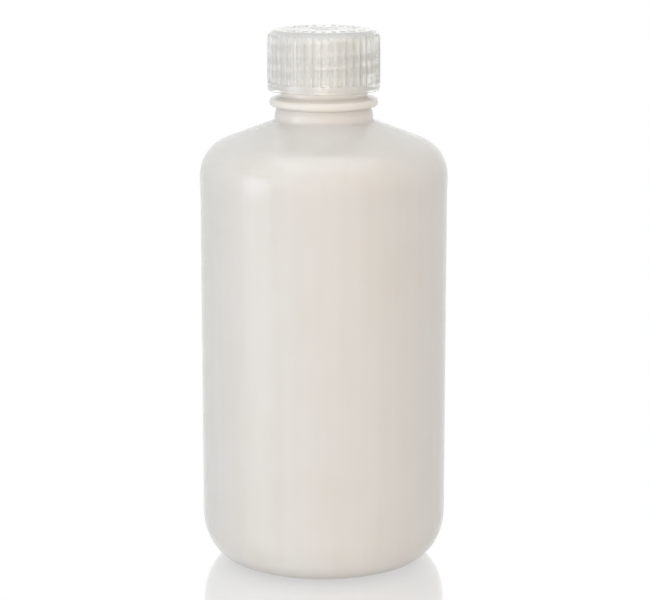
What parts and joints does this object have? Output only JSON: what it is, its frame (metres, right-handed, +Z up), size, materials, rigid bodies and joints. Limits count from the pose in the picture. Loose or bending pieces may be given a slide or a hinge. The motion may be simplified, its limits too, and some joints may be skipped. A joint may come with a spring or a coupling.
{
  "type": "reagent bottle",
  "caption": "Narrow-mouth translucent plastic reagent bottle with a round body, sloping shoulder, collar on the neck and a ribbed screw closure.",
  "frame": {"origin": "centre of the base ring that stands on the bench", "axes": "+Z up along the bottle's axis; +X along the mould's parting plane and the pinch-off seam in the base"},
  "size_m": [0.0618, 0.0616, 0.1341],
  "materials": {
    "bottle_hdpe": "natural milky blow-moulded HDPE, satin",
    "closure_pp": "natural see-through injection-moulded PP, semi-gloss"
  },
  "bodies": {
    "bottle": {"bottle": "bottle_hdpe"},
    "seal": {"cap_seal_ring": "closure_pp"},
    "cap": {"screw_cap": "closure_pp"}
  },
  "joints": [
    {"name": "cap_rise", "type": "slide", "parent": "bottle", "child": "seal", "axis": [0, 0, 1], "range_m": [0, 0.01588]},
    {"name": "cap_turn", "type": "hinge", "parent": "seal", "child": "cap", "pos_m": [0, 0, 0.1324], "axis": [0, 0, 1], "range_deg": [0, 1800]}
  ],
  "couplings": [
    {"joint": "cap_rise", "follows": "cap_turn", "m_per_rad": 0.00050532}
  ]
}
